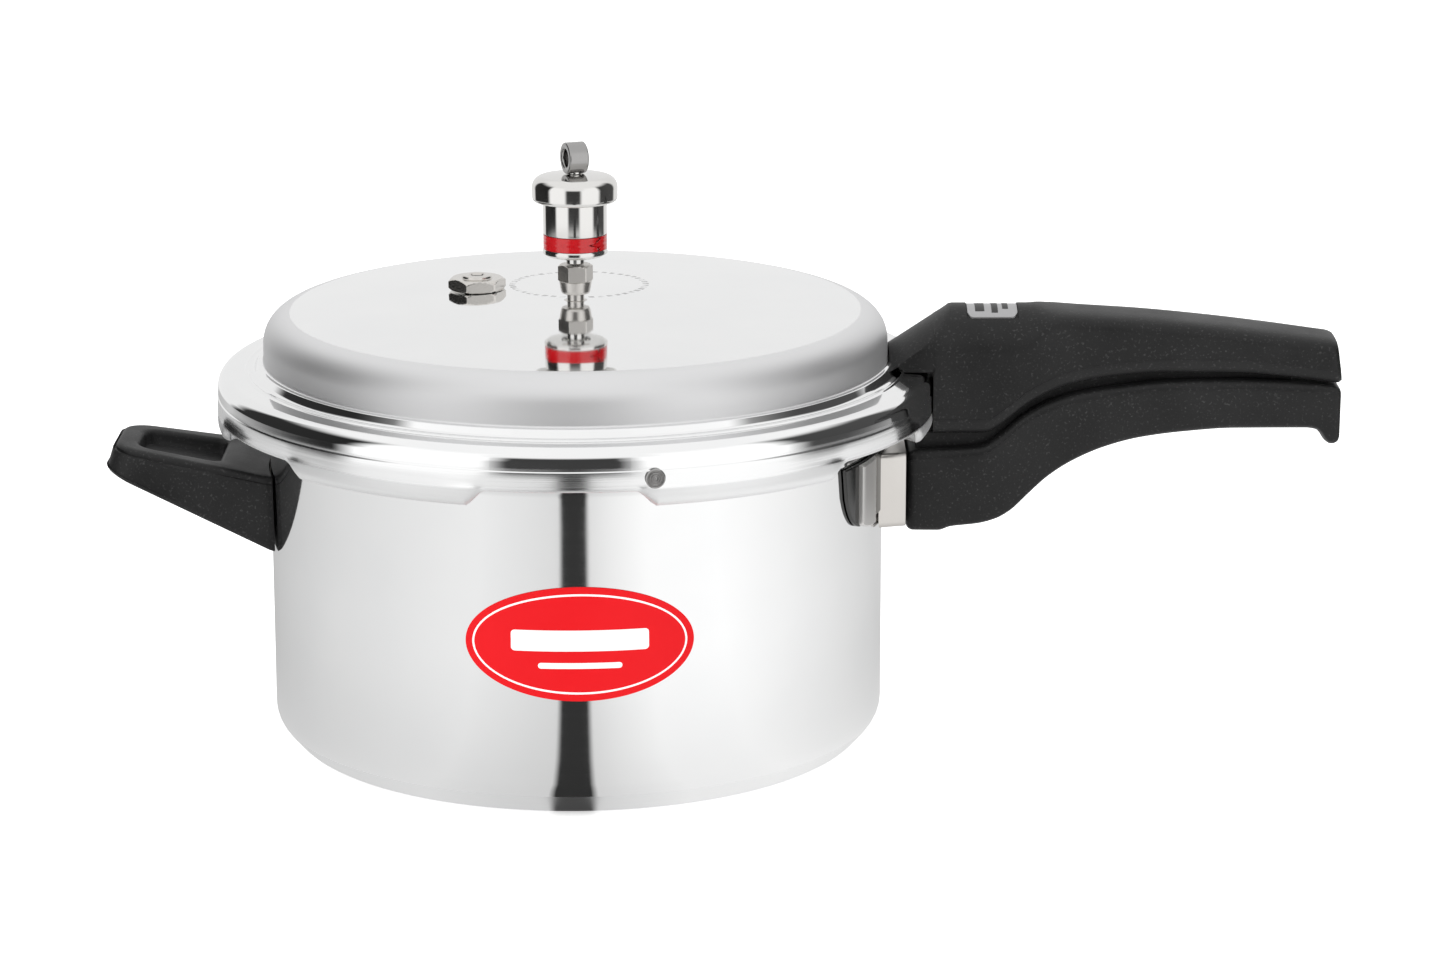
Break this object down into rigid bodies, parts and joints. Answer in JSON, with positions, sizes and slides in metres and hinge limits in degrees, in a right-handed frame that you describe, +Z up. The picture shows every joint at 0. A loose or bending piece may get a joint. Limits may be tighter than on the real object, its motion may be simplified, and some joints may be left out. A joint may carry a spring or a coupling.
{
  "type": "stovetop pressure cooker",
  "caption": "Aluminium stovetop pressure cooker with an outer turn-lock lid, weight regulator, fusible safety valve, stacked long handles and a helper handle.",
  "frame": {"origin": "centre of the pot's flat base, on the surface it stands on", "axes": "+Z up along the pot's axis, +X from the pot's axis towards the ends of the two long handles"},
  "size_m": [0.4314, 0.2506, 0.2114],
  "materials": {
    "pot_aluminium": "buffed to a near mirror, satin knuckle at the base",
    "lid_aluminium": "mirror polished dome, brushed skirt",
    "bracket_steel": "bright rolled stainless",
    "screw_steel": "turned",
    "rivet_alloy": "satin",
    "bakelite": "fine stippled black phenolic",
    "seal_rubber": "matt",
    "regulator_chrome": "chromed and polished",
    "fusible_alloy": "dull cast",
    "red_label": "printed foil",
    "red_band": "gloss enamel",
    "insert_plate": "satin grey"
  },
  "bodies": {
    "pot": {"pot_body": "pot_aluminium", "front_label": "red_label", "pot_bracket": "bracket_steel", "pot_bracket_rivet_1": "rivet_alloy", "pot_bracket_rivet_2": "rivet_alloy", "flame_guard": "bracket_steel", "pot_handle": "bakelite", "pot_handle_screw": "screw_steel", "helper_bracket": "bracket_steel", "helper_bracket_rivet_1": "rivet_alloy", "helper_bracket_rivet_2": "rivet_alloy", "helper_handle": "bakelite", "helper_screw": "screw_steel"},
    "lid": {"lid_shell": "lid_aluminium", "gasket": "seal_rubber", "stop_rivet": "screw_steel", "vent_pipe": "regulator_chrome", "vent_washer": "seal_rubber", "vent_nut": "screw_steel", "safety_valve_body": "regulator_chrome", "safety_valve_core": "fusible_alloy", "safety_valve_washer": "seal_rubber", "safety_valve_nut": "screw_steel", "lid_bracket": "bracket_steel", "lid_bracket_rivet_1": "rivet_alloy", "lid_bracket_rivet_2": "rivet_alloy", "lid_handle": "bakelite", "lid_handle_screw": "screw_steel", "lid_handle_plate": "insert_plate"},
    "needle": {"regulator_needle": "regulator_chrome"},
    "regulator": {"regulator_weight": "regulator_chrome", "regulator_band": "red_band", "regulator_cap": "regulator_chrome", "regulator_ring": "regulator_chrome"}
  },
  "joints": [
    {"name": "lid_turn", "type": "hinge", "parent": "pot", "child": "lid", "pos_m": [0, 0, 0.12], "axis": [0, 0, 1], "range_deg": [0, 30]},
    {"name": "regulator_lift", "type": "slide", "parent": "lid", "child": "needle", "axis": [0, 0, 1], "range_m": [0, 0.015]},
    {"name": "regulator_spin", "type": "hinge", "parent": "needle", "child": "regulator", "pos_m": [0, 0, 0.18], "axis": [0, 0, 1], "continuous": true}
  ]
}
